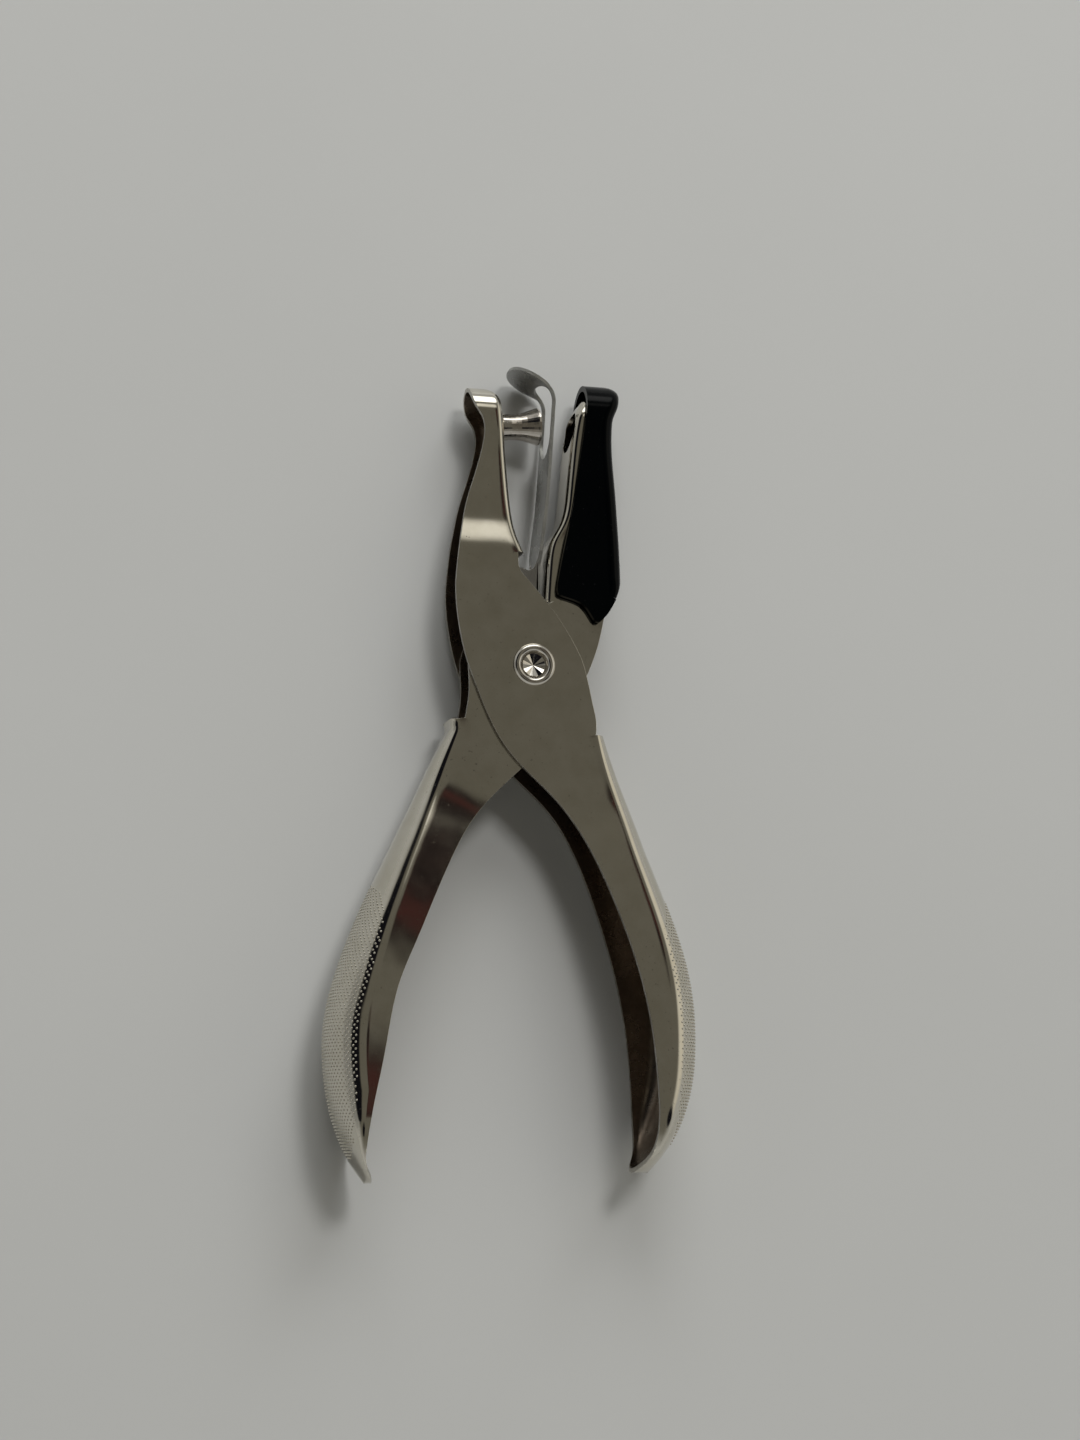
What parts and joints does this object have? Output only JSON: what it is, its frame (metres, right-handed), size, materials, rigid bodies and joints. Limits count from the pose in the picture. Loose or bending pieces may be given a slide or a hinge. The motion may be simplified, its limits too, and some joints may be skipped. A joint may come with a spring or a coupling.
{
  "type": "hole punch",
  "caption": "Plier-type hand hole punch: crossed sheet-steel levers on a rivet, waisted punch pin, slotted stripper with an oval tab, return spring and hinged plastic chip cover.",
  "frame": {"origin": "bottom centre of the box round the punch as it lies on its side with the handles open; the pivot's axis is at x 2.80 mm, y 16.16 mm", "axes": "+Y from the handles to the jaws, +X from the punch jaw to the die jaw, +Z out of the face the punch shows lying down, along the pivot"},
  "size_m": [0.0616, 0.1362, 0.0172],
  "materials": {
    "plated_steel": "nickel plated, bright, faintly hazed",
    "tool_steel": "turned and plated",
    "spring_strip": "plated strip, satin",
    "rivet_steel": "nickel plated, crimped",
    "bush_steel": "plain steel",
    "spring_wire": "drawn wire",
    "black_plastic": "glossy moulded"
  },
  "bodies": {
    "punch_lever": {"outer_lever": "plated_steel", "punch_pin": "tool_steel", "pivot_rivet": "rivet_steel", "spacer_bush": "bush_steel", "torsion_spring": "spring_wire"},
    "die_lever": {"inner_lever": "plated_steel"},
    "stripper_plate": {"stripper": "spring_strip"},
    "cover": {"chip_cover": "black_plastic"}
  },
  "joints": [
    {"name": "squeeze", "type": "hinge", "parent": "punch_lever", "child": "die_lever", "pos_m": [0.0028, 0.01616, 0.0086], "axis": [0, 0, 1], "range_deg": [0, 8.8], "stiffness_Nm_per_rad": 2, "springref_deg": -14.32, "deforming": ["torsion_spring"]},
    {"name": "stripper_swing", "type": "hinge", "parent": "punch_lever", "child": "stripper_plate", "pos_m": [0.0028, 0.01616, 0.0086], "axis": [0, 0, 1], "range_deg": [0, 6.4]},
    {"name": "cover_hinge", "type": "hinge", "parent": "die_lever", "child": "cover", "pos_m": [0.014, 0.02626, 0.0086], "axis": [0, 0, -1], "range_deg": [0, 65]}
  ],
  "couplings": [
    {"joint": "stripper_swing", "follows": "squeeze", "ratio": 0.72}
  ]
}
